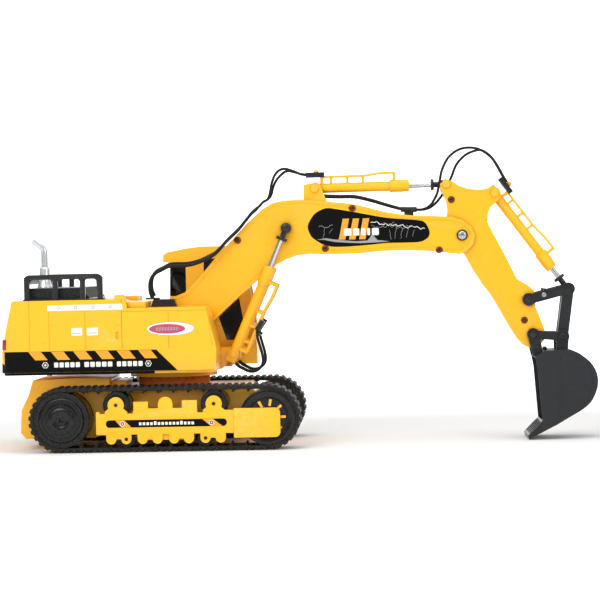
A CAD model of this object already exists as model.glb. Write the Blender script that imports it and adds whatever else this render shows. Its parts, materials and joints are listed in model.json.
import bpy
import bmesh
import json
import math
import random
import numpy as np
from mathutils import Vector, Matrix


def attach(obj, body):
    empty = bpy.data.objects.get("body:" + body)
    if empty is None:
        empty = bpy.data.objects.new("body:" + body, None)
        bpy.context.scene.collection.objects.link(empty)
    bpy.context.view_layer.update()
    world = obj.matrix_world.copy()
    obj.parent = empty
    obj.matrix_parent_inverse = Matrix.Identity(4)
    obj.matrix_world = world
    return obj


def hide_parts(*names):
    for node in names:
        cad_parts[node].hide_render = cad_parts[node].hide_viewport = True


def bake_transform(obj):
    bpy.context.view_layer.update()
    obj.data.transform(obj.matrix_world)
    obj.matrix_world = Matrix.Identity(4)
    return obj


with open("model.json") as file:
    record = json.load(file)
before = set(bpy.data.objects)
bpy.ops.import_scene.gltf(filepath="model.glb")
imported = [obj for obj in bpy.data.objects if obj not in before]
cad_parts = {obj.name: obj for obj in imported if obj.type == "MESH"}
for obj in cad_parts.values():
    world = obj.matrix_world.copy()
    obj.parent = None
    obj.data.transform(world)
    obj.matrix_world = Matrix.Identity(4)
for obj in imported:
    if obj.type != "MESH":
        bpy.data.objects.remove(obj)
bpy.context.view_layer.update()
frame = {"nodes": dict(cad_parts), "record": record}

N = frame["nodes"]
SLOTS = {s["node"]: s["material_slot"] for s in frame["record"]["subparts"]}
BODY = {n: b for b, ns in frame["record"]["behaviour"]["bodies"].items() for n in ns}
SC = bpy.context.scene
MX = 155.7          # the slew axis stands this far behind the origin, mm
rnd = random.Random(7)


def v(x, y, z):
    """A point given in mm from the slew axis at ground level."""
    return Vector(((x - MX) / 1000.0, y / 1000.0, z / 1000.0))


# ------------------------------------------------------------------ materials
def srgb(r, g, b):
    def f(c):
        c /= 255.0
        return c / 12.92 if c <= 0.04045 else ((c + 0.055) / 1.055) ** 2.4
    return (f(r), f(g), f(b), 1.0)


class M:
    """Small helper that wires a node material."""

    def __init__(self, name):
        self.m = bpy.data.materials.new(name)
        self.m.use_nodes = True
        self.t = self.m.node_tree
        self.b = self.t.nodes["Principled BSDF"]
        self.co = self.n("ShaderNodeTexCoord").outputs["Object"]

    def n(self, kind, **kw):
        x = self.t.nodes.new(kind)
        for k, val in kw.items():
            if k in x.inputs:
                x.inputs[k].default_value = val
            else:
                setattr(x, k, val)
        return x

    def l(self, a, b):
        self.t.links.new(a, b)

    def noise(self, scale, detail=2.0, rough=0.5, vec=None):
        x = self.n("ShaderNodeTexNoise")
        x.inputs["Scale"].default_value = scale
        x.inputs["Detail"].default_value = detail
        x.inputs["Roughness"].default_value = rough
        self.l(vec or self.co, x.inputs["Vector"])
        return x.outputs["Fac"]

    def ramp(self, fac, lo, hi, a=0.0, b=1.0):
        x = self.n("ShaderNodeMapRange")
        x.inputs["From Min"].default_value = lo
        x.inputs["From Max"].default_value = hi
        x.inputs["To Min"].default_value = a
        x.inputs["To Max"].default_value = b
        self.l(fac, x.inputs["Value"])
        return x.outputs["Result"]

    def mix(self, fac, a, b, mode="MIX"):
        x = self.n("ShaderNodeMix")
        x.data_type = "RGBA"
        x.blend_type = mode
        ins = [i for i in x.inputs if i.type == "RGBA"]
        out = [o for o in x.outputs if o.type == "RGBA"][0]
        for sock, val in ((x.inputs[0], fac), (ins[0], a), (ins[1], b)):
            if hasattr(val, "links") or isinstance(val, bpy.types.NodeSocket):
                self.l(val, sock)
            else:
                sock.default_value = val
        return out

    def math(self, op, a, b=0.0, c=0.0):
        x = self.n("ShaderNodeMath")
        x.operation = op
        for i, val in enumerate((a, b, c)):
            if isinstance(val, bpy.types.NodeSocket):
                self.l(val, x.inputs[i])
            else:
                x.inputs[i].default_value = val
        return x.outputs[0]

    def bump(self, h, strength, dist=0.001, prev=None):
        x = self.n("ShaderNodeBump")
        x.inputs["Strength"].default_value = strength
        x.inputs["Distance"].default_value = dist
        self.l(h, x.inputs["Height"])
        if prev is not None:
            self.l(prev, x.inputs["Normal"])
        return x.outputs["Normal"]

    def ao(self, dist):
        x = self.n("ShaderNodeAmbientOcclusion")
        x.samples = 6
        x.inputs["Distance"].default_value = dist
        return x.outputs["AO"]

    def set(self, **kw):
        for k, val in kw.items():
            s = self.b.inputs[k.replace("_", " ")]
            if isinstance(val, bpy.types.NodeSocket):
                self.l(val, s)
            else:
                s.default_value = val


MATS = {}


def plastic(name, col, rough=0.3, coat=0.1, dark=0.55, var=0.010, peel=0.05, sss=0.0, wear=0.08, spec=0.4):
    """Injection-moulded plastic: slight flow variation, fine orange peel, dirt held in creases, paler edges."""
    k = M(name)
    base = srgb(*col)
    warm = tuple(min(1, c * s) for c, s in zip(base[:3], (1 + var, 1 - var * 0.6, 1 - var * 2))) + (1,)
    pale = tuple(min(1, c * (1 + var)) for c in base[:3]) + (1,)
    big = k.noise(14, 3)
    c1 = k.mix(k.ramp(big, 0.35, 0.65), warm, pale)
    shade = tuple(c * s for c, s in zip(base[:3], (dark, dark * 0.82, dark * 0.6))) + (1,)
    a = k.ao(0.005)
    c2 = k.mix(k.ramp(a, 0.25, 0.95), shade, c1)
    geo = k.n("ShaderNodeNewGeometry")
    edge = k.ramp(geo.outputs["Pointiness"], 0.52, 0.60)
    lite = tuple(min(1, c + wear * (1 - c)) for c in base[:3]) + (1,)
    c3 = k.mix(k.math("MULTIPLY", edge, k.ramp(k.noise(220, 3), 0.35, 0.7)), c2, lite)
    r = k.ramp(k.noise(90, 4, 0.6), 0.3, 0.7, rough - 0.05, rough + 0.08)
    nb = k.bump(k.noise(1500, 2), peel, 0.0002)
    nb = k.bump(k.noise(70, 2), 0.04, 0.0006, nb)
    k.set(Base_Color=c3, Roughness=r, Normal=nb, Coat_Weight=coat, Coat_Roughness=0.12, IOR=1.48, Specular_IOR_Level=spec)
    MATS[name] = k.m
    return k.m


def black_plastic(name, col, rough=0.3, coat=0.1, scuff=0.4, spec=0.35):
    """Black moulded plastic with fine scuffs that catch the light."""
    k = M(name)
    base = srgb(*col)
    lite = tuple(c + 0.018 for c in base[:3]) + (1,)
    fine = k.noise(420, 5, 0.65)
    c = k.mix(k.math("MULTIPLY", k.ramp(fine, 0.5, 0.75), scuff), base, lite)
    wave = k.n("ShaderNodeTexNoise")
    wave.inputs["Scale"].default_value = 60
    mp = k.n("ShaderNodeMapping")
    mp.inputs["Scale"].default_value = (1, 9, 3)
    k.l(k.co, mp.inputs["Vector"])
    k.l(mp.outputs[0], wave.inputs["Vector"])
    r = k.math("ADD", k.ramp(fine, 0.3, 0.7, rough - 0.06, rough + 0.08), k.ramp(wave.outputs["Fac"], 0.55, 0.7, 0, 0.1))
    k.set(Base_Color=c, Roughness=r, Normal=k.bump(k.noise(1300, 2), 0.06, 0.0002), Coat_Weight=coat, Coat_Roughness=0.15, Specular_IOR_Level=spec)
    MATS[name] = k.m
    return k.m


def rubber(name, col, dusty=0.5):
    """Matt moulded rubber with pale dust on it and a slightly pebbled skin."""
    k = M(name)
    base = srgb(*col)
    dust = srgb(92, 88, 82)
    geo = k.n("ShaderNodeNewGeometry")
    edge = k.ramp(geo.outputs["Pointiness"], 0.5, 0.58)
    n1 = k.ramp(k.noise(160, 5, 0.65), 0.5, 0.78)
    f = k.math("MULTIPLY", k.math("ADD", n1, k.math("MULTIPLY", edge, 0.5)), dusty * 0.5)
    c = k.mix(f, base, dust)
    k.set(Base_Color=c, Roughness=k.ramp(k.noise(60), 0.3, 0.7, 0.55, 0.72), Normal=k.bump(k.noise(900, 3), 0.14, 0.0003), Specular_IOR_Level=0.35)
    MATS[name] = k.m
    return k.m


def metal(name, col, rough=0.18, streak=(1, 1, 30), scratch=0.25, metallic=1.0, edge=0.3):
    k = M(name)
    mp = k.n("ShaderNodeMapping")
    mp.inputs["Scale"].default_value = streak
    k.l(k.co, mp.inputs["Vector"])
    f = k.noise(180, 4, 0.6, mp.outputs[0])
    base = srgb(*col)
    d = tuple(c * 0.72 for c in base[:3]) + (1,)
    c = k.mix(k.math("MULTIPLY", k.ramp(f, 0.4, 0.7), scratch), base, d)
    a = k.ao(0.004)
    c = k.mix(k.ramp(a, 0.2, 0.9), d, c)
    lw = k.n("ShaderNodeLayerWeight")
    lw.inputs["Blend"].default_value = 0.35
    dark_ = tuple(q * 0.12 for q in base[:3]) + (1,)
    c = k.mix(k.math("MULTIPLY", k.ramp(lw.outputs["Facing"], 0.25, 0.9), edge), c, dark_)
    k.set(Base_Color=c, Specular_Tint=(1 - edge, 1 - edge, 1 - edge, 1), Metallic=metallic, Roughness=k.ramp(f, 0.3, 0.7, rough * 0.7, rough * 1.4), Normal=k.bump(f, 0.05, 0.0002))
    MATS[name] = k.m
    return k.m


def film(name, cols, rough=0.3, spec=0.25):
    """Printed sticker film: ink with a faint dot screen and a soft sheen."""
    k = M(name)
    base = srgb(*cols)
    dots = k.n("ShaderNodeTexVoronoi")
    dots.inputs["Scale"].default_value = 1800
    k.l(k.co, dots.inputs["Vector"])
    lite = tuple(min(1, c * 1.10 + 0.006) for c in base[:3]) + (1,)
    c = k.mix(k.math("MULTIPLY", k.ramp(dots.outputs["Distance"], 0.2, 0.6), 0.5), base, lite)
    k.set(Base_Color=c, Roughness=k.ramp(k.noise(120, 3), 0.3, 0.7, rough - 0.06, rough + 0.06), Normal=k.bump(k.noise(260, 2), 0.04, 0.0003), Coat_Weight=spec * 0.2, Coat_Roughness=0.2, Specular_IOR_Level=spec)
    MATS[name] = k.m
    return k.m


plastic("body_yellow", (251, 187, 29))
plastic("cab_yellow", (252, 191, 32))
plastic("cover_yellow", (252, 187, 28))
plastic("chassis_amber", (255, 190, 40), dark=0.75)
plastic("boom_yellow", (249, 184, 22))
plastic("stick_yellow", (249, 182, 21))
plastic("barrel_yellow", (250, 185, 22))
plastic("ring_amber", (198, 108, 40), rough=0.4, dark=0.75)
plastic("board_green", (28, 104, 60), rough=0.35, var=0.08)
plastic("battery_wrap", (40, 72, 160), rough=0.2, var=0.1)
plastic("pinion_nylon", (226, 220, 204), rough=0.45)
plastic("tail_red", (150, 40, 22), rough=0.12, coat=0.6)
plastic("deck_amber", (236, 150, 26))
black_plastic("wheel_black", (11, 12, 12), rough=0.24, coat=0.14, spec=0.36)
black_plastic("cover_black", (34, 36, 37), rough=0.25, coat=0.15)
black_plastic("cover_matt", (36, 35, 33), rough=0.62, coat=0.0, scuff=0.12, spec=0.12)
black_plastic("railing_black", (36, 38, 38), rough=0.3)
black_plastic("link_black", (26, 28, 30), rough=0.36)
black_plastic("bucket_grey", (30, 33, 37), rough=0.42, coat=0.0, scuff=0.6, spec=0.4)
black_plastic("window_dark", (9, 8, 6), rough=0.07, coat=0.25, scuff=0.1, spec=0.35)
rubber("belt_rubber", (13, 13, 12), 0.35)
rubber("hose_black", (14, 14, 15), 0.12)
metal("rod_chrome", (214, 216, 220), 0.16, metallic=0.9, edge=0.75)
metal("exhaust_chrome", (226, 229, 232), 0.2, metallic=0.6)
metal("pin_steel", (196, 198, 200), 0.24)
metal("screw_steel", (170, 170, 172), 0.3)
metal("screw_copper", (128, 72, 46), 0.34)
metal("motor_metal", (180, 180, 184), 0.32)
film("film_black", (5, 6, 6), 0.5, spec=0.08)
film("film_orange", (242, 160, 44))
film("film_white", (236, 234, 228))
film("film_grey", (150, 152, 152))
film("film_magenta", (190, 70, 110))
film("film_beige", (226, 196, 140))


# ------------------------------------------------------------------ mesh tools
def link(ob):
    SC.collection.objects.link(ob)
    return ob


def finish_piece(ob, body, mats=None, smooth=35):
    if mats:
        ob.data.materials.clear()
        for m in mats:
            ob.data.materials.append(MATS[m] if isinstance(m, str) else m)
    for p in ob.data.polygons:
        p.use_smooth = True
    ob.data.set_sharp_from_angle(angle=math.radians(smooth))
    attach(ob, body)
    return ob


def bevel(ob, w, segs=3, angle=32, wn=True):
    b = ob.modifiers.new("soft_edge", "BEVEL")
    b.width = w
    b.segments = segs
    b.limit_method = "ANGLE"
    b.angle_limit = math.radians(angle)
    b.use_clamp_overlap = True
    b.miter_outer = "MITER_ARC"
    b.harden_normals = True
    if not wn:
        n = ob.modifiers.new("wn", "WEIGHTED_NORMAL")
        n.keep_sharp = False
        n.weight = 60
    return ob


def clean_copy(node):
    """The CAD node's mesh, welded and with its flat faces merged, as a new mesh."""
    me = N[node].data.copy()
    bm = bmesh.new()
    bm.from_mesh(me)
    bmesh.ops.remove_doubles(bm, verts=bm.verts, dist=2e-6)
    bmesh.ops.dissolve_limit(bm, angle_limit=math.radians(0.4), verts=bm.verts, edges=bm.edges, use_dissolve_boundaries=False)
    bmesh.ops.recalc_face_normals(bm, faces=bm.faces)
    bm.to_mesh(me)
    bm.free()
    return me


def carve(ob, cutter):
    """Cuts the cutter's solids out of a piece, before its edges are rounded."""
    me = bpy.data.meshes.new("cutter")
    me.from_pydata([tuple(p) for p in cutter.v], [], cutter.f)
    bm = bmesh.new()
    bm.from_mesh(me)
    bmesh.ops.recalc_face_normals(bm, faces=bm.faces)
    bm.to_mesh(me)
    bm.free()
    c = link(bpy.data.objects.new("cutter", me))
    m = ob.modifiers.new("cut", "BOOLEAN")
    m.operation = "DIFFERENCE"
    m.solver = "EXACT"
    m.object = c
    bpy.context.view_layer.update()
    dg = bpy.context.evaluated_depsgraph_get()
    new = bpy.data.meshes.new_from_object(ob.evaluated_get(dg), preserve_all_data_layers=True, depsgraph=dg)
    ob.modifiers.remove(m)
    if len(new.polygons) < len(ob.data.polygons):
        raise RuntimeError("the cut took most of " + ob.name)
    ob.data = new
    bpy.data.objects.remove(c)
    bm = bmesh.new()
    bm.from_mesh(new)
    bmesh.ops.remove_doubles(bm, verts=bm.verts, dist=1e-6)
    bmesh.ops.dissolve_limit(bm, angle_limit=math.radians(0.4), verts=bm.verts, edges=bm.edges, use_dissolve_boundaries=False)
    bm.to_mesh(new)
    bm.free()
    return ob


def skin(node, w=0.6, segs=3, mats=None, pick=None, angle=32, name=None, cut=None):
    """Stands for a CAD node: the same solid with moulded, rounded edges."""
    me = clean_copy(node)
    ob = link(bpy.data.objects.new(name or node + "_skin", me))
    if cut is not None:
        carve(ob, cut)
        me = ob.data
    mats = mats or [SLOTS[node]]
    me.materials.clear()
    for m in mats:
        me.materials.append(MATS[m])
    for p in me.polygons:
        p.use_smooth = True
        p.material_index = pick(p.center, p.normal) if pick else 0
    bevel(ob, w / 1000.0, segs, angle)
    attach(ob, BODY[node])
    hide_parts(node)
    return ob


def obj_from(name, verts, faces, mats, body, w=0.0, segs=2, smooth=35, angle=32, idx=None):
    me = bpy.data.meshes.new(name)
    me.from_pydata([tuple(p) for p in verts], [], faces)
    me.validate()
    bm = bmesh.new()
    bm.from_mesh(me)
    bmesh.ops.recalc_face_normals(bm, faces=bm.faces)
    bm.to_mesh(me)
    bm.free()
    ob = link(bpy.data.objects.new(name, me))
    finish_piece(ob, body, mats, smooth)
    if idx is not None:
        for p, i in zip(me.polygons, idx):
            p.material_index = i
    if w:
        bevel(ob, w / 1000.0, segs, angle)
    return ob


class Build:
    """Collects geometry given in slew-axis mm and makes one mesh of it."""

    def __init__(self):
        self.v, self.f, self.i = [], [], []

    def add(self, verts, faces, mat=0):
        o = len(self.v)
        self.v += [v(*p) for p in verts]
        self.f += [[o + k for k in f] for f in faces]
        self.i += [mat] * len(faces)

    def prism(self, pts, y0, y1, mat=0):
        """Polygon of (x, z) pushed from y0 to y1."""
        n = len(pts)
        vs = [(p[0], y0, p[1]) for p in pts] + [(p[0], y1, p[1]) for p in pts]
        fs = [list(range(n))[::-1], list(range(n, 2 * n))] + [[k, (k + 1) % n, n + (k + 1) % n, n + k] for k in range(n)]
        self.add(vs, fs, mat)

    def plate_z(self, pts, z0, z1, mat=0):
        """Polygon of (x, y) pushed from z0 to z1."""
        n = len(pts)
        vs = [(p[0], p[1], z0) for p in pts] + [(p[0], p[1], z1) for p in pts]
        fs = [list(range(n))[::-1], list(range(n, 2 * n))] + [[k, (k + 1) % n, n + (k + 1) % n, n + k] for k in range(n)]
        self.add(vs, fs, mat)

    def box(self, a, b, mat=0):
        self.prism([(a[0], a[2]), (b[0], a[2]), (b[0], b[2]), (a[0], b[2])], a[1], b[1], mat)

    def lathe(self, x, z, prof, seg=64, mat=0, a0=0.0, a1=360.0):
        """Revolve (r, y) points round the Y axis through (x, z)."""
        full = abs(a1 - a0) >= 359.9
        m = seg if full else seg + 1
        vs = []
        for j in range(m):
            a = math.radians(a0 + (a1 - a0) * j / seg)
            for r, y in prof:
                vs.append((x + r * math.cos(a), y, z + r * math.sin(a)))
        k = len(prof)
        fs = []
        for j in range(seg):
            j2 = (j + 1) % m
            for q in range(k - 1):
                fs.append([j * k + q, j * k + q + 1, j2 * k + q + 1, j2 * k + q])
        self.add(vs, fs, mat)

    def cyl(self, x, z, r, y0, y1, seg=40, mat=0):
        self.lathe(x, z, [(0.0001, y0), (r, y0), (r, y1), (0.0001, y1)], seg, mat)

    def make(self, name, mats, body, w=0.0, segs=2, smooth=35, angle=32, weld=True):
        ob = obj_from(name, self.v, self.f, mats, body, 0, segs, smooth, angle, None)
        me = ob.data
        if len(me.polygons) == len(self.i):
            for p, i in zip(me.polygons, self.i):
                p.material_index = i
        if weld:
            bm = bmesh.new()
            bm.from_mesh(me)
            bmesh.ops.remove_doubles(bm, verts=bm.verts, dist=1e-6)
            bmesh.ops.recalc_face_normals(bm, faces=bm.faces)
            bm.to_mesh(me)
            bm.free()
        if w:
            bevel(ob, w / 1000.0, segs, angle)
        return ob


def circle(cx, cz, r, n=24, a0=0, a1=360):
    full = abs(a1 - a0) >= 359.9
    m = n if full else n + 1
    return [(cx + r * math.cos(math.radians(a0 + (a1 - a0) * k / n)), cz + r * math.sin(math.radians(a0 + (a1 - a0) * k / n))) for k in range(m)]


def catmull(pts, per=8):
    """Smooth points through a path of 3-D points."""
    P = [Vector(p) for p in pts]
    P = [P[0] * 2 - P[1]] + P + [P[-1] * 2 - P[-2]]
    out = []
    for i in range(1, len(P) - 2):
        p0, p1, p2, p3 = P[i - 1:i + 3]
        for k in range(per):
            t = k / per
            out.append(0.5 * ((2 * p1) + (p2 - p0) * t + (2 * p0 - 5 * p1 + 4 * p2 - p3) * t * t + (3 * p1 - p0 - 3 * p2 + p3) * t ** 3))
    out.append(P[-2].copy())
    return out


def sweep(bld, pts, r, seg=14, mat=0, caps=True):
    """Round tube along points given in slew-axis mm. r is a number or a function of 0..1."""
    pts = [Vector(p) for p in pts]
    n = len(pts)
    tang = [(pts[min(i + 1, n - 1)] - pts[max(i - 1, 0)]).normalized() for i in range(n)]
    ref = Vector((0, 1, 0)) if abs(tang[0].y) < 0.8 else Vector((0, 0, 1))
    nrm = (ref - tang[0] * ref.dot(tang[0])).normalized()
    vs = []
    for i in range(n):
        nrm = (nrm - tang[i] * nrm.dot(tang[i])).normalized()
        bi = tang[i].cross(nrm)
        rr = r(i / (n - 1)) if callable(r) else r
        for k in range(seg):
            a = 2 * math.pi * k / seg
            p = pts[i] + nrm * (rr * math.cos(a)) + bi * (rr * math.sin(a))
            vs.append(tuple(p))
    fs = []
    for i in range(n - 1):
        for k in range(seg):
            k2 = (k + 1) % seg
            fs.append([i * seg + k, i * seg + k2, (i + 1) * seg + k2, (i + 1) * seg + k])
    if caps:
        fs.append(list(range(seg))[::-1])
        fs.append([(n - 1) * seg + k for k in range(seg)])
    bld.add(vs, fs, mat)


# ------------------------------------------------------------------ geometry facts shared with the CAD
P = (347.9, 243.6)
F = (29.1, 146.6)
B0, B1 = (73.6, 107.3), (139.1, 256.1)
S0, S1 = (173.3, 303.3), (330.2, 305.0)
C0, C1 = (387.7, 293.2), (473.0, 177.5)
R0, K, L = (425.6, 165.7), (429.9, 124.4), (465.1, 121.1)
XR, XF, AZ = -122.0, 117.0, 38.0
BRI, BT, CH = 32.5, 3.7, 1.8
RM = BRI + BT / 2
PATH = 2 * 239 + 2 * math.pi * RM
UPX, LOX = (-57.9, 55.2), (-46.4, 45.1)
UPR, LOR = 15.5, 9.6
UPZ, LOZ = AZ + BRI - UPR - 0.2, AZ - BRI + LOR + 0.3
WR = BRI - 0.2


def loc(a, b):
    """Local frame of a cylinder: returns f(p) -> (u, y, w) in mm for a world point."""
    l = math.hypot(b[0] - a[0], b[1] - a[1])
    ux, uz = (b[0] - a[0]) / l, (b[1] - a[1]) / l

    def f(p, flip=False):
        x, y, z = p[0] * 1000 + MX - a[0], p[1] * 1000, p[2] * 1000 - a[1]
        w = -x * uz + z * ux
        return x * ux + z * uz, y, (-w if flip else w)
    return f, l


# ------------------------------------------------------------------ track belts
def belt_pt(s, h):
    a = 239.0
    b = a + math.pi * RM
    c = b + a
    s %= PATH
    if s < a:
        return XR + s, AZ + RM + h
    if s < b:
        u = (s - a) / RM
        return XF + (RM + h) * math.sin(u), AZ + (RM + h) * math.cos(u)
    if s < c:
        return XF - (s - b), AZ - RM - h
    u = (s - c) / RM
    return XR - (RM + h) * math.sin(u), AZ - (RM + h) * math.cos(u)


def make_belt(side):
    sg = -1 if side == "right" else 1
    B = Build()
    n = 88 * 4
    h = BT / 2
    # band with rounded shoulders
    prof = [(67.3, -h), (66.9, -h + 0.5), (66.9, h - 0.6), (67.5, h), (108.5, h), (109.1, h - 0.6), (109.1, -h + 0.5), (108.7, -h)]
    vs, fs = [], []
    for i in range(n):
        for y, hh in prof:
            x, z = belt_pt(i * PATH / n, hh)
            vs.append((x, sg * y, z))
    k = len(prof)
    for i in range(n):
        j = (i + 1) % n
        for q in range(k):
            q2 = (q + 1) % k
            fs.append([i * k + q, i * k + q2, j * k + q2, j * k + q])
    B.add(vs, fs)
    ob1 = B.make("track_belt_%s_band" % side, ["belt_rubber"], "chassis", smooth=40)
    # grousers: three blocks on each link, the middle one wider, with a low web between
    G = Build()
    p = PATH / 88

    def block(s, y0, y1, half0, half1, h0, h1):
        ps = []
        for y in (y0, y1):
            for ds, hh in ((-half0, h0), (half0, h0), (half1, h1), (-half1, h1)):
                x, z = belt_pt(s + ds, hh)
                ps.append((x, sg * y, z))
        G.add(ps, [[0, 1, 2, 3], [7, 6, 5, 4], [0, 4, 5, 1], [1, 5, 6, 2], [2, 6, 7, 3], [3, 7, 4, 0]])

    for i in range(88):
        s = (i + 0.5) * p
        for y0, y1 in ((66.0, 78.5), (81.0, 95.0), (97.5, 110.0)):
            block(s, y0, y1, 2.55, 2.0, h - 0.3, h + CH)
        block(s, 78.3, 97.7, 1.5, 1.2, h - 0.3, h + CH * 0.55)
        # the ends of each link stand out from the band on both edges
        for y0, y1 in ((66.0, 68.2), (107.8, 110.0)):
            block(s, y0, y1, 2.2, 2.2, -h + 0.4, h - 0.2)
            block(s + p / 2, y0 + 0.5, y1 - 0.5, 0.8, 0.6, -h + 1.2, h + 0.2)
    for i in range(40):
        s = (i + 0.5) * PATH / 40
        for y0, y1 in ((69.0, 74.0), (102.0, 107.0)):
            ps = []
            for y in (y0, y1):
                for ds, hh in ((-1.9, -h + 0.3), (1.9, -h + 0.3), (1.15, -h - 3.0), (-1.15, -h - 3.0)):
                    x, z = belt_pt(s + ds, hh)
                    ps.append((x, sg * y, z))
            G.add(ps, [[0, 1, 2, 3], [7, 6, 5, 4], [0, 4, 5, 1], [1, 5, 6, 2], [2, 6, 7, 3], [3, 7, 4, 0]])
    ob2 = G.make("track_belt_%s_cleats" % side, ["belt_rubber"], "chassis", w=0.28, segs=2, weld=False)
    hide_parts("track_belt_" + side)
    return ob1, ob2


for side in ("left", "right"):
    make_belt(side)


# ------------------------------------------------------------------ wheels
def ribbed(B, x, z, r0, r1, n, half, y0, y1, mat=0, taper=1.0, off=0.0):
    for i in range(n):
        a = 2 * math.pi * i / n + off
        c, s = math.cos(a), math.sin(a)
        pts = []
        for r, hw in ((r0, half), (r1, half * taper)):
            for q in (-hw, hw):
                pts.append((x + r * c - q * s, z + r * s + q * c))
        pts = [pts[0], pts[1], pts[3], pts[2]]
        B.prism(pts, y0, y1, mat)


def make_sprocket(side):
    sg = -1 if side == "right" else 1
    B = Build()
    Y = lambda *q: [(r, sg * y) for r, y in q]
    # the drum, its lug grooves and the outer face, as one turned profile
    B.lathe(XR, AZ, Y((0.001, 66.6), (30.5, 66.6), (WR, 67.4), (WR, 68.2), (28.3, 68.6), (28.3, 74.4), (WR, 74.8), (WR, 101.2), (28.3, 101.6),
                      (28.3, 107.2), (31.6, 107.6), (WR, 108.0), (WR, 109.0), (31.9, 109.4), (30.9, 109.4), (30.6, 107.9), (26.6, 107.9), (26.2, 109.5),
                      (25.4, 110.2), (24.8, 111.0), (23.6, 111.3), (22.6, 111.25), (22.2, 110.8), (20.6, 110.8), (20.2, 111.25), (18.0, 111.5), (17.6, 111.1),
                      (16.2, 111.1), (15.8, 111.6), (13.6, 111.9), (13.0, 112.4), (11.4, 112.6), (8.2, 112.6), (7.4, 112.0), (5.6, 111.8), (5.0, 112.2), (3.4, 112.2), (2.6, 111.6), (2.2, 106.0), (0.001, 106.0)), 120)
    ob = B.make("drive_sprocket_%s_wheel" % side, ["wheel_black"], "drive_sprocket_" + side, smooth=40)
    D = Build()
    # ribs of the outer ring, bolt bumps of the hub
    ribbed(D, XR, AZ, 26.3, 31.0, 22, 1.1, *(sorted((sg * 107.6, sg * 109.45))), taper=1.2)
    for i in range(16):
        a = 2 * math.pi * i / 16 + 0.3
        D.lathe(XR + 21.4 * math.cos(a), AZ + 21.4 * math.sin(a), Y((0.9, 110.4), (0.9, 111.2), (0.5, 111.5), (0.001, 111.55)), 16)
    for i in range(12):
        a = 2 * math.pi * i / 12
        D.lathe(XR + 14.7 * math.cos(a), AZ + 14.7 * math.sin(a), Y((0.9, 111.6), (0.9, 112.1), (0.5, 112.4), (0.001, 112.4)), 12)
    for i in range(9):
        a = 2 * math.pi * i / 9
        D.lathe(XR + 9.8 * math.cos(a), AZ + 9.8 * math.sin(a), Y((0.8, 112.2), (0.8, 112.8), (0.4, 113.1), (0.001, 113.1)), 12)
    D.lathe(XR, AZ, Y((3.0, 66.8), (3.0, 40.0), (0.001, 40.0)), 24)
    ob2 = D.make("drive_sprocket_%s_ribs" % side, ["wheel_black"], "drive_sprocket_" + side, w=0.25)
    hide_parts("drive_sprocket_" + side)


def make_idler(side):
    sg = -1 if side == "right" else 1
    B = Build()
    Y = lambda *q: [(r, sg * y) for r, y in q]
    B.lathe(XF, AZ, Y((2.1, 66.6), (30.5, 66.6), (WR, 67.4), (WR, 68.2), (28.3, 68.6), (28.3, 74.4), (WR, 74.8), (WR, 101.2), (28.3, 101.6),
                      (28.3, 107.2), (31.6, 107.6), (WR, 108.0), (WR, 109.0), (31.8, 109.4), (26.4, 109.4), (25.8, 109.0), (25.2, 108.6), (23.8, 108.6),
                      (23.5, 109.2), (23.0, 109.4), (22.2, 109.4), (21.8, 109.0), (21.6, 108.3), (9.5, 108.3), (9.1, 109.1), (8.4, 109.4), (2.1, 109.4), (2.1, 66.6)), 120)
    # radial spokes between the slots
    ob = B.make("idler_wheel_%s_wheel" % side, ["wheel_black"], "idler_wheel_" + side, smooth=40)
    D = Build()
    for i in range(9):
        a = math.radians(40 * i)
        c, q = math.cos(a), math.sin(a)
        D.prism([(XF + r * c - h_ * q, AZ + r * q + h_ * c) for r, h_ in ((12.6, -1.5), (20.7, -1.5), (20.7, 1.5), (12.6, 1.5))], *sorted((sg * 107.6, sg * 108.75)))
    D.make("idler_wheel_%s_bars" % side, ["chassis_amber"], "idler_wheel_" + side, w=0.3)
    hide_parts("idler_wheel_" + side)


def make_roller(side, node, x, z, r, rg):
    sg = -1 if side == "right" else 1
    B = Build()
    Y = lambda *q: [(a, sg * y) for a, y in q]
    B.lathe(x, z, Y((2.1, 66.6), (r - 0.8, 66.6), (r, 67.2), (r, 68.2), (rg, 68.6), (rg, 74.4), (r, 74.8), (r, 101.2), (rg, 101.6), (rg, 107.4),
                    (r, 107.8), (r, 108.8), (r - 0.6, 109.4), (r - 1.6, 109.4), (r - 2.0, 108.8), (r * 0.62, 108.6), (r * 0.55, 109.2), (r * 0.5, 109.4), (2.1, 109.4), (2.1, 66.6)), 64)
    ob = B.make(node + "_wheel", ["wheel_black"], node, smooth=40)
    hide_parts(node)


for side in ("left", "right"):
    make_sprocket(side)
    make_idler(side)
    for w_, x_ in (("rear", 0), ("front", 1)):
        make_roller(side, "upper_%s_roller_%s" % (w_, side), UPX[x_], UPZ, UPR, UPR - 3.8)
        make_roller(side, "lower_%s_roller_%s" % (w_, side), LOX[x_], LOZ, LOR, LOR - 3.6)

# ------------------------------------------------------------------ rounded copies of the hard CAD parts
for n_ in ("chassis_frame", "turret_base"):
    skin(n_, 0.8)
skin("drive_gearbox", 1.4)
for n_ in ("track_cover_left", "track_cover_right"):
    skin(n_, 0.45, 2)
for n_ in ("idler_yoke_left", "idler_yoke_right"):
    skin(n_, 0.8)
# shut lines and panel lines of the body
G = Build()
for sg in (-1, 1):
    y0, y1 = sorted((sg * 94.55, sg * 97.0))
    for x, z0, z1 in ((-158.9, 118.4, 180.0), (-135.8, 119.0, 163.0), (-93.9, 119.0, 163.0)):
        G.box((x - 0.3, y0, z0), (x + 0.3, y1, z1))
G.box((-49.0, -97, 161.9), (48.0, -94.6, 162.5))
G.prism([(48.0, 161.9), (48.6, 162.5), (53.9, 121.0), (53.3, 121.0)], -97, -94.6)
skin("body_shell", 1.1, 4, cut=G)
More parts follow.
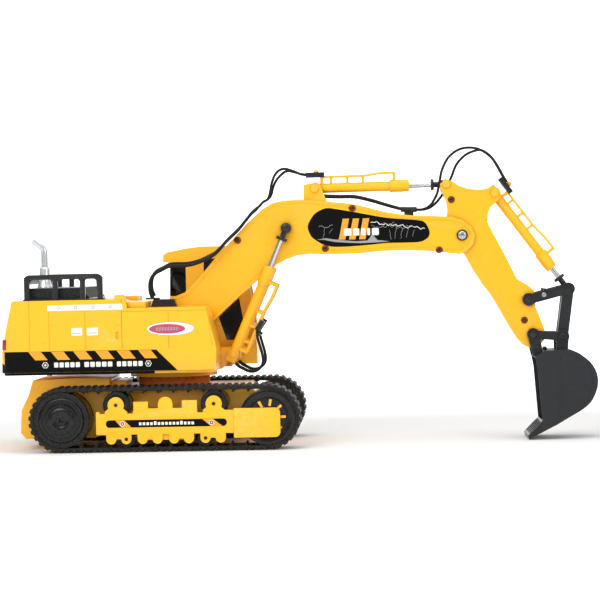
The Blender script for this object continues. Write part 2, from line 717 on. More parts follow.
# engine cover: its faces are drawn here as one closed moulding with louvre slots in the roof
B = Build()
BTOP = 176.5
B.prism([(-164, BTOP), (-164, 188.5), (-161.5, 191), (-101.5, 191), (-90.5, 178.5), (-90.5, BTOP)], -74, 74)
ec = B.make("engine_cover_moulding", ["cover_black", "cover_matt"], "turret")
G = Build()
for x in (-128, -121, -114, -107):
    for y in (-62, 6):
        G.box((x, y, 188), (x + 3, y + 56, 195))
carve(ec, G)
for q_ in ec.data.polygons:
    q_.use_smooth = False
    if q_.normal.x > 0.5 and q_.normal.z > 0.3:
        q_.material_index = 1
bevel(ec, 0.0011, 4)
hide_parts("engine_cover")
skin("railing", 1.9, 4)
# small fillets under the railing's top bars
B = Build()
for y0, y1, wins in ((-90.6, -86.4, ((-158.7, -131.4, 5.5, 3), (-125.4, -99.4, 3, 3.4), (-93.4, -79.0, 2.4, 4.2))), (86.4, 90.6, ((-158.7, -151.8, 3, 2), (-145.8, -136.8, 2, 2), (-130.8, -102.8, 3, 5.5)))):
    for xa, xb, ra, rb in wins:
        for xc, d, r in ((xa, 1, ra), (xb, -1, rb)):
            arc = [(xc + r * d - r * d * math.sin(math.pi / 2 * k / 6), 200.9 - r + r * math.cos(math.pi / 2 * k / 6)) for k in range(7)]
            ring = arc + [(xc - 0.4 * d, 200.9 - r), (xc - 0.4 * d, 201.4), (xc + r * d, 201.4)]
            B.prism(ring, y0, y1)
B.make("railing_fillets", ["railing_black"], "turret", smooth=40)


def lathe_z(B, cx, cy, prof, seg=48, mat=0):
    """Revolve (r, z) points round an upright axis."""
    vs = []
    for j in range(seg):
        a = 2 * math.pi * j / seg
        for r, z in prof:
            vs.append((cx + r * math.cos(a), cy + r * math.sin(a), z))
    k = len(prof)
    fs = []
    for j in range(seg):
        j2 = (j + 1) % seg
        for q in range(k - 1):
            fs.append([j * k + q, j * k + q + 1, j2 * k + q + 1, j2 * k + q])
    B.add(vs, fs, mat)


B = Build()
lathe_z(B, -147, -45, [(0.001, 190.6), (9.2, 190.6), (9.2, 192.6), (8.6, 193.3), (7.6, 196.0), (6.6, 199.6), (6.3, 201.0), (6.3, 213.6), (6.0, 214.6), (5.0, 215.4), (4.2, 215.8), (0.001, 215.8)])
ex = B.make("exhaust_foot", ["exhaust_chrome"], "turret", smooth=50)
B = Build()
pipe = catmull([(-147, -45, 212), (-147, -45, 222), (-147, -45, 231), (-147.8, -45, 236.2), (-150.6, -45, 239.9), (-155.4, -45, 243.7), (-160.2, -45, 247.4)], 6)
sweep(B, pipe, 4.0, 28, caps=False)
n_p = len(pipe)
tip = (pipe[-1] - pipe[-2]).normalized()
sweep(B, [pipe[-1], pipe[-1] - tip * 0.2, pipe[-1] - tip * 8], lambda t: 3.1 if t > 0.01 else 4.0, 28)
B.make("exhaust_pipe", ["exhaust_chrome"], "turret", smooth=50, weld=False)
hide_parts("exhaust_stack")
# door line, sill line and door handle on the cab's outer side
G = Build()
G.box((20.8, 94.4, 109.6), (21.4, 97, 221))
G.box((22.6, 94.4, 108), (93, 97, 108.6))
skin("cab_shell", 1.3, 4, cut=G)
B = Build()
B.box((25.5, 94.8, 148), (38.5, 97.2, 151.4))
B.make("cab_door_handle", ["cover_black"], "turret", w=0.7)
skin("cab_windows", 0.6)
skin("hose_port", 0.7)
for n_ in ("boom_shell_left", "boom_shell_right", "stick_shell_left", "stick_shell_right"):
    skin(n_, 0.8, 3, angle=38)


def pin_pick(yellow=(), black=()):
    """Pin ends in yellow or black plastic, the rest in steel."""
    def g(c, nrm):
        for m_, ps in ((1, yellow), (2, black)):
            for q in ps:
                if math.hypot(c[0] * 1000 + MX - q[0], c[2] * 1000 - q[1]) < 7:
                    return m_
        return 0
    return g


PINMATS = ["pin_steel", "barrel_yellow", "cover_black"]
skin("turret_pins", 0.3, 2, PINMATS, pin_pick((B0,)))
skin("boom_pins", 0.3, 2, PINMATS, pin_pick((S0,), (B1,)))
skin("stick_pins", 0.3, 2, PINMATS, pin_pick((S1, C0), (R0, K)))
# moulded caps on the pin ends: six-sided ones, a dome in a ring at the elbow, a ball at the boom cylinder's eye
for s_, sg in (("right", -1), ("left", 1)):
    YY = lambda *q: [(r, sg * y) for r, y in q]
    for n_, q, y0, y1, b_ in (("stick_cylinder_foot", S0, 10.6, 12.2, "boom"), ("stick_cylinder_eye", S1, 14.4, 16.9, "stick"), ("bucket_cylinder_foot", C0, 14.4, 16.9, "stick")):
        B = Build()
        B.prism(circle(q[0], q[1], 5.3, 6, 12, 372), *sorted((sg * y0, sg * y1)))
        B.make("%s_pin_cap_%s" % (n_, s_), ["barrel_yellow"], b_, w=0.4)
    B = Build()
    B.lathe(P[0], P[1], YY((6.5, 20.2), (6.5, 21.2), (6.0, 21.5), (5.2, 21.5), (5.0, 20.9)), 40)
    B.make("elbow_pin_ring_" + s_, ["cover_black"], "boom")
    B = Build()
    B.lathe(P[0], P[1], YY((5.0, 20.9), (4.9, 21.9), (4.3, 22.6), (3.0, 23.1), (1.4, 23.3), (0.001, 23.35)), 40)
    B.make("elbow_pin_dome_" + s_, ["pin_steel"], "boom")
    B = Build()
    B.lathe(B1[0], B1[1], YY((4.0, 33.4), (5.2, 33.9), (5.6, 34.8), (5.2, 36.0), (3.9, 37.0), (2.0, 37.5), (0.001, 37.6)), 32)
    B.make("boom_cylinder_eye_cap_" + s_, ["cover_black"], "boom")
    for n_, pts, y0, b_ in (("boom_screw", ((80.7, 243), (218.2, 278.4), (185.2, 231.2), (320.6, 226.6)), 20.3, "boom"), ("stick_screw", ((336.1, 286.2), (420.1, 141.2)), 15.3, "stick")):
        B = Build()
        for k_, (x, z) in enumerate(pts):
            B.lathe(x, z, YY((3.9, y0), (3.8, y0 + 0.5), (3.2, y0 + 0.95), (2.0, y0 + 1.25), (0.001, y0 + 1.35)), 28)
            for t_ in (0.5 + k_, 0.5 + k_ + math.pi / 2):
                c, q = math.cos(t_), math.sin(t_)
                B.prism([(x + u_ * c - w_ * q, z + u_ * q + w_ * c) for u_, w_ in ((-2.0, -0.45), (2.0, -0.45), (2.0, 0.45), (-2.0, 0.45))], *sorted((sg * (y0 + 1.0), sg * (y0 + 1.42))), 1)
        B.make("%s_domes_%s" % (n_, s_), ["screw_copper", "cover_black"], b_, weld=False)
for n_ in ("rocker_link", "tie_link"):
    skin(n_, 0.7, 3)
skin("slew_ring_gear", 0.2, 1)

fS, lS = loc(S0, S1)
fC, lC = loc(C0, C1)
fB, lB = loc(B0, B1)


def barrel_pick(f, flip=False):
    """Black clamp at the base of a barrel, yellow elsewhere."""
    def g(c, nrm):
        u, y, w = f(c, flip)
        return 1 if (w > 12.6 and -10.5 < u < 12.05) else 0
    return g


skin("stick_cylinder_barrel", 0.5, 2, ["barrel_yellow", "cover_black"], barrel_pick(fS))
skin("bucket_cylinder_barrel", 0.5, 2, ["barrel_yellow", "cover_black"], barrel_pick(fC))
skin("boom_cylinder_barrels", 0.5, 2, ["barrel_yellow"])


def rod_pick(f, l, d):
    return lambda c, nrm: 1 if f(c)[0] > l - d - 0.2 else 0


skin("stick_cylinder_rod", 0.3, 2, ["rod_chrome", "cover_black"], rod_pick(fS, lS, 18))
skin("bucket_cylinder_rod", 0.3, 2, ["rod_chrome", "cover_black"], rod_pick(fC, lC, 18))
skin("boom_cylinder_rods", 0.3, 2, ["rod_chrome", "cover_black"], rod_pick(fB, lB, 15.5))

# nodes inside the shells and small metal parts keep their CAD mesh with a node material
for n_ in N:
    if not N[n_].hide_render:
        ob = N[n_]
        ob.data.materials.clear()
        ob.data.materials.append(MATS["cover_black" if n_ == "track_axles" else SLOTS[n_]])

# ------------------------------------------------------------------ bucket
def cm(pts, per=6):
    """Smooth (x, z) curve through points."""
    return [(q.x, q.z) for q in catmull([(x, 0, z) for x, z in pts], per)]


def inward(pts, d):
    """The open curve moved by d to its left-hand side."""
    out = []
    for i, q in enumerate(pts):
        a, b = Vector(pts[max(i - 1, 0)]), Vector(pts[min(i + 1, len(pts) - 1)])
        t = (b - a).normalized()
        out.append((q[0] - t.y * d, q[1] + t.x * d))
    return out


back_ = [(434.5, 7.2), (444.4, 12.1), (454.2, 17)] + cm([(458, 19.2), (470, 26.2), (484.5, 34.6), (494.6, 43), (501.2, 54.6), (504, 66.8), (502.4, 78.8), (495.6, 90.6), (484.2, 100.2), (477.5, 103.8), (470.8, 105.9), (463, 106.0)], 6)
top_ = [(455.8, 105.2), (443.8, 105.3), (437.5, 102.2), (430.6, 98.2)]
mouth_ = [(433.2, 84.8), (435.8, 50), (438, 22)]
HB = 36.0
B = Build()
# back wall as one curved sheet, 2.2 thick
outer_ = back_ + top_
inner_ = inward(outer_, 2.2)
B.prism(outer_ + inner_[::-1], -HB + 1.2, HB - 1.2)
B.make("bucket_wall", ["bucket_grey"], "bucket", w=0.25)
B = Build()
full_ = outer_ + mouth_
front_ = [(430.6, 98.2), (433.2, 84.8), (435.8, 50), (438, 22), (434.5, 7.2), (444.4, 12.1), (457.2, 18.8), (457.2, 105.4), (443.8, 105.3), (437.5, 102.2)]
curve_ = cm([(470, 26.2), (484.5, 34.6), (494.6, 43), (501.2, 54.6), (504, 66.8), (502.4, 78.8), (495.6, 90.6), (484.2, 100.2), (477.5, 103.8), (470.8, 105.9), (463, 106.0)], 6)
rim_ = [(461, 21.0)] + curve_
for sg in (-1, 1):
    B.prism(full_, *sorted((sg * (HB - 2.2), sg * (HB - 0.75))))
    B.prism(front_, *sorted((sg * (HB - 0.9), sg * HB)))
    B.prism([(457.0, 18.7), (461.2, 21.1), (461.2, 105.8), (457.0, 105.4)], *sorted((sg * (HB - 0.9), sg * (HB - 0.4))))
    B.prism(rim_ + inward(rim_, 5.6)[::-1], *sorted((sg * (HB - 0.9), sg * (HB - 0.25))))
sides_ = B.make("bucket_sides", ["bucket_grey"], "bucket", w=0.3, weld=False)
B = Build()
B.prism([(438, 23), (434.2, 18.0), (420.6, 5.4), (421.6, 0.8), (434.5, 7.2), (449, 14.8), (447, 19.4)], -HB + 0.2, HB - 0.2)
# low ribs across the lip
for i in range(5):
    y = -28.8 + i * 14.4
    B.prism([(436, 21.5), (422.4, 7.9), (423.6, 6.6), (437, 19.6)], y - 1.6, y + 1.6)
B.make("bucket_lip", ["link_black"], "bucket", w=0.5, weld=False)
for s_, sg in (("right", -1), ("left", 1)):
    B = Build()
    YY = lambda *q: [(r, sg * y) for r, y in q]
    B.prism([(423.6, 121.5), (429.4, 98), (441.0, 98), (440.2, 108), (438.6, 116.2), (439.4, 118.2), (455.6, 116.8), (456.8, 115.0), (457, 101), (470.4, 101), (471.8, 118), (465.6, 126.3), (447, 126.9), (430.4, 129.6)], *sorted((sg * 16.2, sg * 20.0)))
    B.make("bucket_ear_" + s_, ["link_black"], "bucket", w=0.7)
    B = Build()
    B.lathe(K[0], K[1], YY((2.2, 16.0), (7.2, 16.0), (7.2, 20.2), (6.7, 20.9), (5.2, 21.0), (4.9, 20.6), (2.2, 20.6), (2.2, 16.0)), 40)
    B.lathe(L[0], L[1], YY((0.001, 16.0), (7.6, 16.0), (7.6, 20.2), (7.0, 20.9), (5.4, 21.0), (5.0, 20.6), (4.3, 20.6), (4.2, 21.6), (3.6, 22.1), (2.2, 22.1), (2.0, 21.5), (0.001, 21.5)), 40)
    B.make("bucket_ear_bosses_" + s_, ["link_black"], "bucket")
B = Build()
B.cyl(L[0], L[1], 2.0, -18, 18, 24)
B.prism([(442.0, 104.8), (442.8, 108.8), (446.2, 108.8), (447.2, 104.8)], -7, 7)
B.make("bucket_cross_pin", ["link_black"], "bucket", w=0.3, weld=False)
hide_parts("bucket")
# steel screw and a nub on each bar of the rocker link
for s_, sg in (("right", -1), ("left", 1)):
    B = Build()
    B.lathe(443.5, 170.8, [(r, sg * y) for r, y in ((2.9, 19.9), (2.8, 20.5), (2.2, 21.0), (1.2, 21.3), (0.001, 21.35))], 24)
    B.make("rocker_screw_" + s_, ["screw_steel"], "rocker")
    B = Build()
    B.box((442.6, -20, 174.5), (446.2, -16.4, 178.6)) if sg < 0 else B.box((442.6, 16.4, 174.5), (446.2, 20, 178.6))
    B.make("rocker_nub_" + s_, ["link_black"], "rocker", w=0.5)


# ------------------------------------------------------------------ hoses
def near(path, q):
    """The index of the path's point nearest to q."""
    return min(range(len(path)), key=lambda i: sum((a - b) ** 2 for a, b in zip(path[i], q)))


def hose(name, pts, r, body, other=None, per=8, seg=14, part=None):
    """part=(a, b) keeps only the path from control point a to control point b."""
    B = Build()
    path = catmull(pts, per)
    if part:
        path = path[near(path, pts[part[0]]):near(path, pts[part[1]]) + 1]
    sweep(B, path, r, seg)
    me = bpy.data.meshes.new(name)
    me.from_pydata([tuple(p) for p in B.v], [], B.f)
    me.validate()
    ob = link(bpy.data.objects.new(name, me))
    me.materials.append(MATS["hose_black"])
    for p in me.polygons:
        p.use_smooth = True
    if other:
        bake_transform(ob)
    else:
        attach(ob, body)
    return ob


h1a = [(-20, -38, 176), (-22.9, -38, 184.7), (-22.4, -38, 196.6), (-17.3, -37, 205), (-8.7, -36, 209.7), (1.1, -35, 213.7), (19.5, -34, 214), (32.6, -33, 216.7),
       (43.8, -31.5, 221.4), (54.9, -30, 227.7), (68.5, -28, 242.1), (82.2, -26, 255.1), (96.8, -24, 272.6), (104, -21.5, 279)]
for i, dy in enumerate((0, 3.6)):
    pts = [(x + (1.5 if i else 0), y + dy, z + (2.6 if i else 0)) for x, y, z in h1a]
    hose("body_to_boom_hose_%d" % (i + 1), pts, lambda t: 2.3 - 0.6 * t, "turret", "boom")
for i, dy in enumerate((0, 3.4)):
    y0 = -6.5 + dy * 1.6
    pts = [(104, -21.5 + dy, 279 + 1.2 * i), (108, -15 + dy, 284), (112, -9 + dy, 288.5), (117, y0, 291.5)] + ([(119.8, y0, 298.4), (122.1, y0, 309.7), (125.8, y0, 319.5), (131.4, y0, 325.6), (138.3, y0, 327.3), (147.9, -3, 324.6), (156.1, -3.2, 321.2), (163.5, -3.2, 319.9)] if i == 0 else
        [(121.0, y0, 296.5), (123.6, y0, 305.6), (127.9, y0, 314.4), (134.6, y0, 321.4), (141.6, y0, 324.9), (152.0, 3, 322.6), (158.0, 3.2, 320.6), (164.3, 3.2, 319.6)])
    hose("boom_to_stick_cylinder_hose_%d" % (i + 1), pts, 1.55, "boom")
h2 = [(187.2, 293.6), (202.3, 292.9), (221.5, 292.2), (240.6, 287.6), (256.9, 282.4), (274.6, 277.2)]
for i, y in enumerate((-7.0, 4.0)):
    hose("boom_top_hose_%d" % (i + 1), [(172, y * 0.4, 296.0), (179, y * 0.6, 294.4)] + [(x, y, z) for x, z in h2] + [(284, y * 0.9, 276)], lambda t: 2.45 - 0.55 * t, "boom")
hA = [(279, -6, 275.6), (290, -6, 275.6), (302.1, -7, 275.6), (311, -10, 280), (316.5, -12.5, 288), (320, -13.5, 296.1), (322.8, -13, 309.4), (326, -12, 322.7), (334, -10, 337), (346.8, -8.5, 346), (360.3, -7, 347.8), (372, -6, 345), (384.1, -5, 336.4), (391.6, -4, 325.4), (398.6, -3.4, 312.4), (403, -3.2, 306)]
hB = [(279, 6, 275.6), (290, 6, 275.6), (304, 7, 275.6), (314, 9, 279.6), (324, 11, 289.8), (332, 12.4, 303), (337.5, 12, 314), (343.7, 10, 328.5), (354.1, 8, 339.5), (366, 6, 344.6), (375, 5, 344.6), (385, 4.4, 337), (392.5, 4, 326.1), (399.4, 3.4, 313), (403.6, 3.2, 306)]
for n_, pts, k_ in (("stick_hose_outer", hA, 12), ("stick_hose_inner", hB, 11)):
    hose(n_, pts, 1.55, "boom", "stick", part=(0, k_))
    hose(n_ + "_end", pts, 1.55, "stick", "bucket_barrel", part=(k_, len(pts) - 1))
h3 = [(76.2, 97.3), (80, 93.6), (85, 90.6), (92, 87.4), (98.5, 87.2), (104, 90), (108.2, 95.4), (108.6, 104), (105.9, 115.8), (102.7, 128.1), (103.2, 137), (107.5, 144.5), (111, 148)]
for s_, sg in (("right", -1), ("left", 1)):
    hose("boom_cylinder_hose_" + s_, [(x, sg * 30.5, z) for x, z in h3[:-1]], lambda t: 2.1 - 0.5 * t, "boom_barrels")
    # clamp that holds the hose on the guard's lower end, and a small clip below it
    B = Build()
    B.prism([(112.2, 145.3), (107.4, 148.6), (99.7, 137.4), (104.5, 134.0)], sg * 30.5 - 3.0, sg * 30.5 + 3.0)
    B.prism([(106.0, 131.6), (101.0, 132.0), (100.8, 128.8), (105.8, 128.4)], sg * 30.5 - 2.6, sg * 30.5 + 2.6)
    B.make("boom_cylinder_hose_clamp_" + s_, ["cover_black"], "boom_barrels", w=0.5)
# sleeve that gathers the boom-top hoses, and the clip on the boom's shoulder
B = Build()
sweep(B, catmull([(276, -6, 276.2), (285, -6, 275.8), (295, -6, 275.7)], 4), 3.1, 16)
sweep(B, catmull([(276, 6, 276.2), (285, 6, 275.8), (295, 6, 275.7)], 4), 3.1, 16)
B.box((280, -7.5, 268.0), (291, 7.5, 274.2))
ob = B.make("boom_top_hose_sleeve", ["cover_black"], "boom", w=0.4)
for n_, q, b_ in (("stick_cylinder", (175.4, 0, 322.6), "stick_barrel"), ("bucket_cylinder", (405.9, 0, 303.9), "bucket_barrel")):
    B = Build()
    B.lathe(q[0], q[2], [(0.001, -3.0), (1.6, -2.6), (2.6, -1.5), (3.0, 0.0), (2.6, 1.5), (1.6, 2.6), (0.001, 3.0)], 24)
    B.make("%s_clamp_bulb" % n_, ["barrel_yellow"], b_)
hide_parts("boom_hoses")
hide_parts("stick_hoses")

# ------------------------------------------------------------------ decals and trim of the body, right side
YF = -95.0


def sticker(name, polys, mats, body, y=YF, t=0.16, w=0.0):
    """Flat printed film on the right side: polys is [(points, mat index, lift)]."""
    B = Build()
    for pts, mi, lift in polys:
        B.prism(pts, y - t - lift, y - 0.001, mi)
    return B.make(name, mats, body, w=w)


def mirror_copy(ob, name, body):
    me = ob.data.copy()
    for vv in me.vertices:
        vv.co.y = -vv.co.y
    me.flip_normals()
    o2 = link(bpy.data.objects.new(name, me))
    for m_ in ob.modifiers:
        if m_.type == "BEVEL":
            bevel(o2, m_.width, m_.segments)
    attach(o2, body)
    return o2


def hexmark(polys, cx, cz, r, lift):
    """A plain six-sided ring with a dot, as the photograph shows at both ends of a row."""
    polys.append((circle(cx, cz, r, 6, 0, 360), 2, lift))
    polys.append((circle(cx, cz, r * 0.72, 24), 0, lift + 0.06))
    polys.append((circle(cx, cz, r * 0.34, 16), 2, lift + 0.12))


# black base band with slanted front end, orange hazard bars, hexagon marks, plain blocks where the toy has wording
tops = [-160.5, -134.2, -108.3, -82.6, -57.7, -32.6]
for s_, sg in (("right", -1), ("left", 1)):
    if sg < 0:
        polys = [([(-186.9, 93.1), (12.9, 93.1), (-11.6, 117.6), (-186.9, 117.6)], 0, 0)]
        bars = tops
    else:
        polys = [([(-186.9, 93.1), (-22.6, 93.1), (-22.6, 117.6), (-186.9, 117.6)], 0, 0)]
        bars = tops[:5]
    for x in bars:
        polys.append(([(x, 117.3), (x + 14.6, 117.3), (x + 22.4, 107.6), (x + 7.8, 107.6)], 1, 0.08))
    for cx in (-141.0, -21.0) if sg < 0 else (-141.0,):
        hexmark(polys, cx, 101.6, 3.9, 0.08)
    for a, b in ((-130.7, -100.7), (-95.4, -62.9), (-57.6, -27.7)):
        st = (b - a + 1.5) / 5
        for i in range(5):
            x = a + i * st
            polys.append(([(x + 0.6, 98.8), (x + st - 2.1, 98.8), (x + st - 1.5, 99.4), (x + st - 1.5, 104.0), (x + st - 2.1, 104.6), (x + 0.6, 104.6), (x, 104.0), (x, 99.4)], 2, 0.08))
    B = Build()
    for pts, mi, lift in polys:
        B.prism(pts, *sorted((sg * (95 + 0.16 + lift), sg * 94.999)), mi)
    B.make("base_band_sticker_" + s_, ["film_black", "film_orange", "film_white"], "turret")
# the band goes on round the bevelled corners and across the rear face
B = Build()
outer = [(-186.8, -95.16), (-192.75, -88.05), (-192.75, 88.05), (-186.8, 95.16)]
inner = [(-186.8, -94.9), (-192.3, -88.0), (-192.3, 88.0), (-186.8, 94.9)]
vs_ = []
for z, dx in ((93.1, 0.0), (117.6, 0.40)):
    for k_, (x, y) in enumerate(outer + inner):
        vs_.append((x + (dx if k_ in (1, 2, 5, 6) else 0), y, z))
fs_ = []
for k_ in range(3):
    fs_ += [[k_, k_ + 1, k_ + 9, k_ + 8], [k_ + 4, k_ + 12, k_ + 13, k_ + 5], [k_, k_ + 4, k_ + 5, k_ + 1], [k_ + 8, k_ + 9, k_ + 13, k_ + 12]]
fs_ += [[0, 8, 12, 4], [3, 7, 15, 11]]
B.add(vs_, fs_)
B.make("base_band_sticker_rear", ["film_black"], "turret")
# black skirt round the rim of the turret's floor, behind the front part
B = Build()
B.plate_z([(-190.3, -87), (-185.8, -92.75), (-14, -92.75), (-14, -92.3), (-185.5, -92.3), (-189.8, -86.8), (-189.8, 86.8), (-185.5, 92.3), (-24, 92.3), (-24, 92.75), (-185.8, 92.75), (-190.3, 87)], 89.9, 93.05)
B.make("turret_skirt", ["film_black"], "turret")

# white strip with four studs, two white squares
polys = [([(-137.4, 164.6), (-49.6, 164.6), (-50.3, 171.6), (-137.3, 170.8)], 0, 0)]
for cx in (-124.7, -104.4, -83.8, -63.3):
    polys.append((circle(cx, 168.1, 1.9, 20), 1, 0.10))
    polys.append((circle(cx, 168.1, 1.2, 20), 0, 0.18))
for x0, x1 in ((-109.8, -97.2), (-91.6, -79.1)):
    polys.append(([(x0, 135.2), (x1, 135.5), (x1, 144.4), (x0, 144.1)], 0, 0))
    polys.append(([(x0 + 1.2, 137.6), (x1 - 1.2, 137.8), (x1 - 1.2, 138.6), (x0 + 1.2, 138.4)], 1, 0.08))
sticker("white_strip_sticker_right", polys, ["film_white", "film_grey"], "turret")

# oval badge: plain nested ovals and a row of small slanted bars, with no lettering
def oval(cx, cz, a, b):
    return [(cx + a * math.cos(math.radians(q * 6)), cz + b * math.sin(math.radians(q * 6))) for q in range(60)]


polys = [(oval(5.7, 141.4, 28.0, 8.1), 0, 0), (oval(5.7, 141.4, 27.4, 7.6), 1, 0.06), (oval(1.6, 141.35, 21.0, 5.6), 2, 0.12)]
for i in range(8):
    x = -11.6 + i * 3.3
    polys.append(([(x, 139.3), (x + 1.9, 139.3), (x + 3.1, 143.4), (x + 1.2, 143.4)], 0, 0.18))
sticker("oval_badge_right", polys, ["film_grey", "film_white", "film_magenta"], "turret")

# tail light on the rear corner
B = Build()
for za, zb in ((119.7, 132.2),):
    B.add([(-186.3, -95.2, za), (-191.4, -89.2, za), (-191.0, -89.2, zb), (-186.0, -95.2, zb),
           (-186.9, -95.9, za + 0.3), (-192.2, -89.6, za + 0.3), (-191.7, -89.6, zb - 0.3), (-186.5, -95.9, zb - 0.3)],
          [[0, 1, 2, 3], [7, 6, 5, 4], [0, 4, 5, 1], [1, 5, 6, 2], [2, 6, 7, 3], [3, 7, 4, 0]])
tl = B.make("tail_light_right", ["tail_red"], "turret", w=0.4)
mirror_copy(tl, "tail_light_left", "turret")

# ------------------------------------------------------------------ boom decal, both sides
dec = [(164.7, 257.3), (169, 267), (175.0, 273.8), (186.9, 278.9), (200, 277.4), (225.1, 272.7), (258.3, 266.2), (294.8, 262.6), (303, 260.3), (306.5, 256.0), (309.3, 249.3), (308.6, 243.4), (304.5, 239.5),
       (296.1, 236.5), (277, 236.2), (257.8, 236.1), (240, 234.6), (224.3, 233.5), (208, 232.8), (194.3, 233.0), (186, 234.8), (179.3, 237.7), (171.6, 243), (167.8, 247.3)]


def closed(pts, per=5):
    """Smooth closed outline through 2-D points."""
    n = len(pts)
    out = []
    for i in range(n):
        p0, p1, p2, p3 = [Vector(pts[(i + k) % n]) for k in (-1, 0, 1, 2)]
        for k in range(per):
            t = k / per
            out.append(tuple(0.5 * ((2 * p1) + (p2 - p0) * t + (2 * p0 - 5 * p1 + 4 * p2 - p3) * t * t + (3 * p1 - p0 - 3 * p2 + p3) * t ** 3)))
    return out


def stroke(polys, pts, w_, mi, lift):
    for (x0, z0), (x1, z1) in zip(pts, pts[1:]):
        d = Vector((x1 - x0, z1 - z0))
        nn = Vector((-d.y, d.x)).normalized() * w_ / 2
        polys.append(([(x0 - nn.x, z0 - nn.y), (x1 - nn.x, z1 - nn.y), (x1 + nn.x, z1 + nn.y), (x0 + nn.x, z0 + nn.y)], mi, lift))


def wander(x0, z0, x1, z1, n, amp):
    """A broken hand-drawn line from seeded numbers."""
    return [(x0 + (x1 - x0) * k / n + rnd.uniform(-0.6, 0.6), z0 + (z1 - z0) * k / n + (rnd.uniform(-amp, amp) if 0 < k < n else 0)) for k in range(n + 1)]


polys = [(closed(dec), 0, 0)]
# pale ground streak and broken grey lines: an abstract sketch with no lettering
polys.append(([(174.5, 241.6), (184, 241.4), (196, 238.6), (212, 237.4), (226, 236.6), (244, 237.0), (262, 238.0), (252, 239.4), (247.5, 239.8), (244.0, 243.8), (241.0, 247.2), (238.4, 243.0), (235.5, 239.6), (222, 239.0), (208, 240.2), (196, 241.6), (186, 243.2)], 2, 0.05))
stroke(polys, wander(178, 257, 194, 259, 7, 2.4), 0.45, 2, 0.10)
stroke(polys, wander(240, 261, 303, 252.5, 30, 2.0), 0.75, 3, 0.10)
stroke(polys, wander(240, 258, 292, 253.5, 22, 2.6), 0.4, 2, 0.11)
stroke(polys, wander(246, 262, 268, 260, 10, 2.8), 0.4, 2, 0.11)
for x0, z0, x1, z1 in ((185, 256, 183, 243), (194, 254, 190, 249), (262, 252, 263, 240), (270, 255, 268, 241), (277, 253, 275, 241), (284, 252, 281, 242), (291, 251, 289, 243), (206, 250, 200, 241)):
    stroke(polys, wander(x0, z0, x1, z1, 6, 0.7), 0.32, 2, 0.10)
# three slanted yellow bars and a row of rounded white blocks
for x in (201.5, 213.5, 225.5):
    polys.append(([(x, 241.2), (x + 7.6, 241.2), (x + 12.6, 266.0), (x + 5.0, 266.0)], 1, 0.14))
for x, wd in ((207.5, 9.0), (218.6, 7.4), (228.1, 5.2), (235.4, 3.4), (240.9, 8.2)):
    polys.append((circle(x + 1.4, 247.2, 1.4, 6, 180, 270) + circle(x + wd - 1.4, 247.2, 1.4, 6, 270, 360) + circle(x + wd - 1.4, 252.9, 1.4, 6, 0, 90) + circle(x + 1.4, 252.9, 1.4, 6, 90, 180), 3, 0.2))
dr = sticker("boom_sticker_right", polys, ["film_black", "film_orange", "film_grey", "film_white"], "boom", y=-19.5)
mirror_copy(dr, "boom_sticker_left", "boom")

# ------------------------------------------------------------------ nameplates in the track covers
for s_, sg in (("right", -1), ("left", 1)):
    B = Build()
    y0, y1 = sorted((sg * 112.88, sg * 113.25))
    pill = circle(-65.4, 33.2, 4.25, 16, 90, 270) + circle(65.7, 33.2, 4.25, 16, -90, 90)
    B.prism(pill, y0, y1, 0)
    z0, z1 = 29.1, 37.3
    o0, o1 = sorted((sg * 113.2, sg * 113.33))
    for t0, t1, b0, b1, cx in ((-58.9, -48.4, -51.7, -40.2, -50.6), (41.8, 53.9, 51.7, 64.9, 52.4)):
        B.prism([(b0, z0), (b1, z0), (t1, z1), (t0, z1)], o0, o1, 1)
        B.prism(circle(cx, 33.2, 3.1, 6), *sorted((sg * 113.3, sg * 113.42)), 2)
        B.prism(circle(cx, 33.2, 2.1, 20), *sorted((sg * 113.4, sg * 113.47)), 0)
        B.prism(circle(cx, 33.2, 0.95, 12), *sorted((sg * 113.44, sg * 113.51)), 2)
    for i in range(15):
        x = -31.4 + i * 4.33
        ht = 4.2 if i in (4, 11) else 3.2
        B.prism([(x, 31.4), (x + 2.9, 31.4), (x + 2.9, 31.4 + ht), (x, 31.4 + ht)], o0, o1, 2)
    B.make("track_nameplate_" + s_, ["film_black", "film_orange", "film_white"], "chassis")

# ------------------------------------------------------------------ stage, light, camera
def make_stage():
    me = bpy.data.meshes.new("floor")
    vs, fs = [], []
    prof = [(-3.2, 0.0), (3.0, 0.0)]
    for k in range(1, 13):
        a = math.radians(90 * k / 12)
        prof.append((3.0 + 1.2 * math.sin(a), 1.2 - 1.2 * math.cos(a)))
    prof.append((4.2, 4.5))
    for y, z in prof:
        vs += [(-6.0, y, z), (6.0, y, z)]
    for k in range(len(prof) - 1):
        fs.append([2 * k, 2 * k + 1, 2 * k + 3, 2 * k + 2])
    me.from_pydata(vs, [], fs)
    for p in me.polygons:
        p.use_smooth = True
    ob = link(bpy.data.objects.new("floor", me))
    k = M("floor_pale")
    k.set(Base_Color=(0.93, 0.93, 0.93, 1), Roughness=0.9, Specular_IOR_Level=0.0)
    # the far wall glows for the camera and in reflections, so that it stays white without lighting the toy
    lp = k.n("ShaderNodeLightPath")
    sp = k.n("ShaderNodeSeparateXYZ")
    k.l(k.co, sp.inputs[0])
    far = k.ramp(sp.outputs["Y"], 0.35, 1.6)
    ring = k.ramp(k.math("SQRT", k.math("ADD", k.math("MULTIPLY", sp.outputs["X"], sp.outputs["X"]), k.math("MULTIPLY", sp.outputs["Y"], sp.outputs["Y"]))), 0.7, 1.7)
    seen = k.math("MAXIMUM", k.math("MULTIPLY", lp.outputs["Is Camera Ray"], k.math("MAXIMUM", far, ring)), k.math("MULTIPLY", lp.outputs["Is Glossy Ray"], far))
    k.set(Emission_Color=(1, 1, 1, 1), Emission_Strength=seen)
    me.materials.append(k.m)


make_stage()

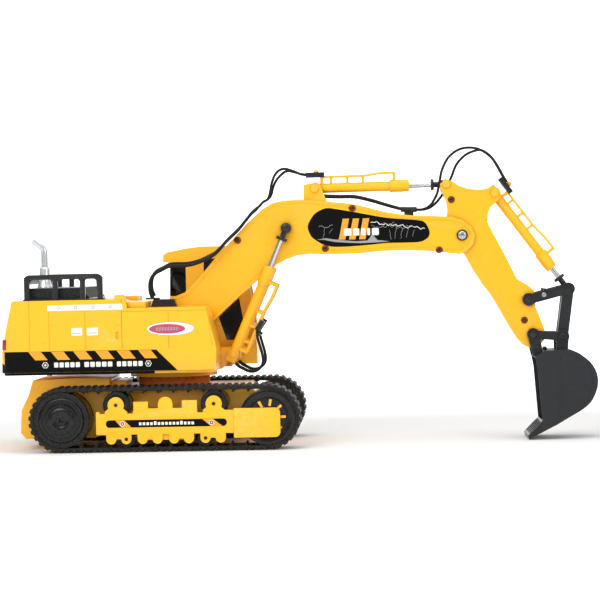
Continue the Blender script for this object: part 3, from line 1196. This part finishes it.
w = bpy.data.worlds.new("studio")
SC.world = w
w.use_nodes = True
wt = w.node_tree
bg = wt.nodes["Background"]
bg.inputs[0].default_value = (1, 1, 1, 1)
geo_ = wt.nodes.new("ShaderNodeTexCoord")
sep_ = wt.nodes.new("ShaderNodeSeparateXYZ")
wt.links.new(geo_.outputs["Generated"], sep_.inputs[0])
sky = wt.nodes.new("ShaderNodeMapRange")
sky.inputs["From Min"].default_value = 0.05
sky.inputs["From Max"].default_value = 0.75
sky.inputs["To Min"].default_value = 0.16
sky.inputs["To Max"].default_value = 0.85
wt.links.new(sep_.outputs["Z"], sky.inputs["Value"])
lp_ = wt.nodes.new("ShaderNodeLightPath")
mx_ = wt.nodes.new("ShaderNodeMix")
mx_.data_type = "FLOAT"
wt.links.new(lp_.outputs["Is Camera Ray"], mx_.inputs[0])
wt.links.new(sky.outputs["Result"], mx_.inputs[2])
mx_.inputs[3].default_value = 1.0
wt.links.new(mx_.outputs[0], bg.inputs[1])


def area(name, loc_, target, size, power, col=(1, 1, 1)):
    d = bpy.data.lights.new(name, "AREA")
    d.shape = "RECTANGLE"
    d.size, d.size_y = size
    d.energy = power
    d.color = col
    o = link(bpy.data.objects.new(name, d))
    o.location = loc_
    o.rotation_euler = (Vector(target) - Vector(loc_)).to_track_quat("-Z", "Y").to_euler()
    return o


area("key", (-1.0, -1.7, 1.6), (0, 0, 0.15), (1.5, 1.0), 15.5)
area("top", (0.1, -0.3, 2.1), (0, 0, 0.1), (1.8, 1.2), 11)
area("fill", (1.7, -1.6, 0.9), (0.1, 0, 0.15), (1.2, 1.0), 9)
# broad light from the front that reaches under the turret, without a mirror image in the black parts
front = area("front", (-0.2, -2.4, 0.45), (0, 0, 0.08), (2.4, 0.7), 14.5)
front.visible_glossy = False

az, el, roll = math.radians(2.0), math.radians(1.0), math.radians(1.157)
back = Vector((math.sin(az) * math.cos(el), -math.cos(az) * math.cos(el), math.sin(el)))
right = Vector((math.cos(az), math.sin(az), 0))
up = back.cross(right)
r_ = math.cos(roll) * right - math.sin(roll) * up
u_ = math.sin(roll) * right + math.cos(roll) * up
cam = bpy.data.cameras.new("cam")
cam.sensor_fit = "HORIZONTAL"
cam.sensor_width = 36
cam.lens = 2166.67 / 600 * 36
cam.clip_end = 50
co = link(bpy.data.objects.new("cam", cam))
co.matrix_world = Matrix(((r_.x, u_.x, back.x, 0), (r_.y, u_.y, back.y, 0), (r_.z, u_.z, back.z, 0), (0, 0, 0, 1)))
co.location = v(243.8, -2598.0, 215.4)
SC.camera = co
SC.view_settings.view_transform = "Standard"
SC.view_settings.look = "None"
